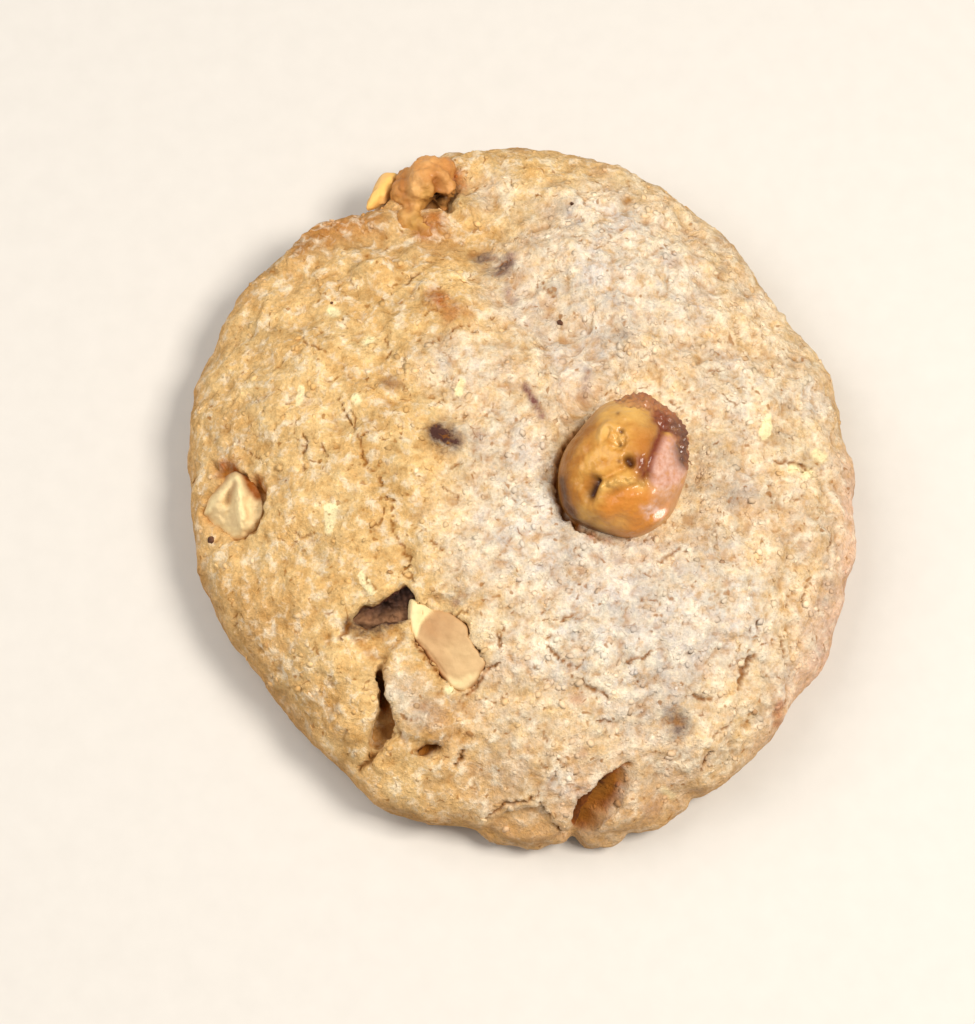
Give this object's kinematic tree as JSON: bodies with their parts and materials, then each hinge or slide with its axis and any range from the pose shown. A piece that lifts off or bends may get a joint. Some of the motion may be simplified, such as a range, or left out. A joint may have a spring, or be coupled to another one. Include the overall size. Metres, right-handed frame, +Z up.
{
  "type": "hazelnut peanut cookie",
  "caption": "Round crackled drop cookie with a caramelised hazelnut sunk in its crown and broken peanuts set in its slope and rim; lies flat on its underside.",
  "frame": {"origin": "on the flat underside, under the crown", "axes": "+Z up from the flat underside to the crown, +Y to the far rim as the picture shows the cookie, +X to the right"},
  "size_m": [0.0655, 0.0717, 0.0207],
  "materials": {
    "dough": "dry baked dough, matte and crumbly",
    "hazelnut": "roasted kernel under a thin caramel glaze",
    "peanut": "roasted peanut, smooth and slightly waxy",
    "caramel": "nut coated in craggy caramel",
    "chocolate": "melted and set chocolate, dull"
  },
  "bodies": {
    "root": {"dough": "dough", "hazelnut": "hazelnut", "peanut_rim": "peanut", "peanut_flat": "peanut", "peanut_edge": "peanut", "caramel_nut": "caramel", "chocolate_chunk": "chocolate"}
  },
  "joints": []
}
